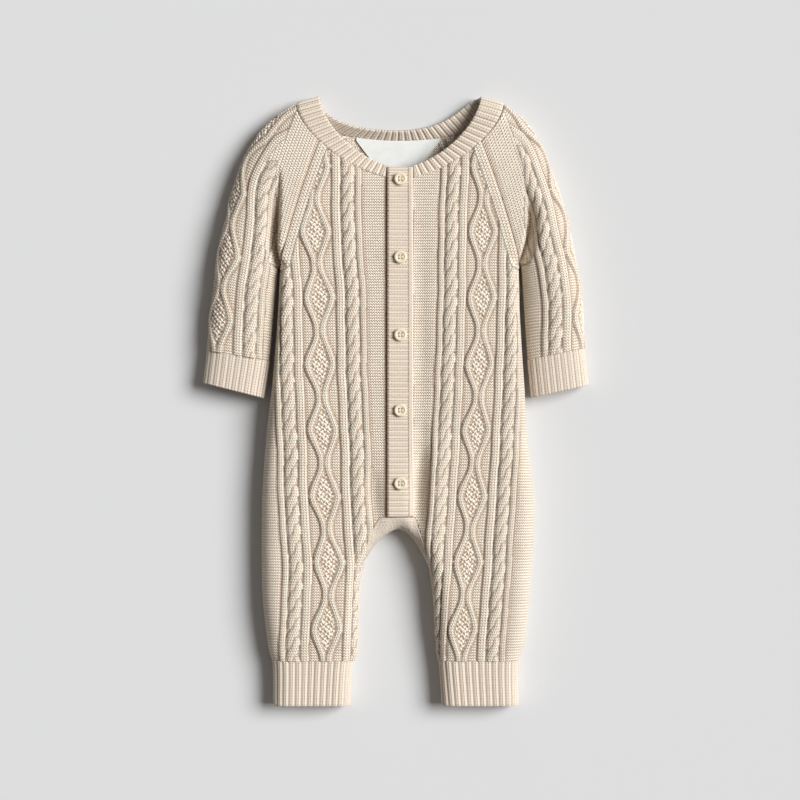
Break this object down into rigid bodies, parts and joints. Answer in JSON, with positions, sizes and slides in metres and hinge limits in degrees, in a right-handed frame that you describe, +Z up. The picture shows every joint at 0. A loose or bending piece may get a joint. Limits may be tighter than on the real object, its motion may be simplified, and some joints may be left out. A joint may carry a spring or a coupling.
{
  "type": "baby romper",
  "caption": "Long-sleeved cable-knit baby romper with a buttoned front, raglan sleeves and ribbed neck, cuffs and leg hems, lying flat on its back.",
  "frame": {"origin": "on the surface that the garment lies on, under the middle of its bounding box", "axes": "+Z up from the surface, +Y from the leg hems to the neck, +X to the viewer's right, which is the wearer's left"},
  "size_m": [0.3271, 0.5093, 0.0323],
  "materials": {
    "knit": "cream cotton cable knit",
    "rib": "cream cotton rib knit",
    "label": "white woven cotton tape",
    "button": "ivory resin, soft gloss"
  },
  "bodies": {
    "root": {"front_left": "knit", "front_right": "knit", "back": "knit", "sleeve_left": "knit", "sleeve_right": "knit", "button_band": "rib", "under_band": "rib", "crotch_gusset": "rib", "cuff_left": "rib", "cuff_right": "rib", "leg_rib_left": "rib", "leg_rib_right": "rib", "neckband": "rib", "neck_label": "label", "button_1": "button", "button_2": "button", "button_3": "button", "button_4": "button", "button_5": "button"}
  },
  "joints": []
}
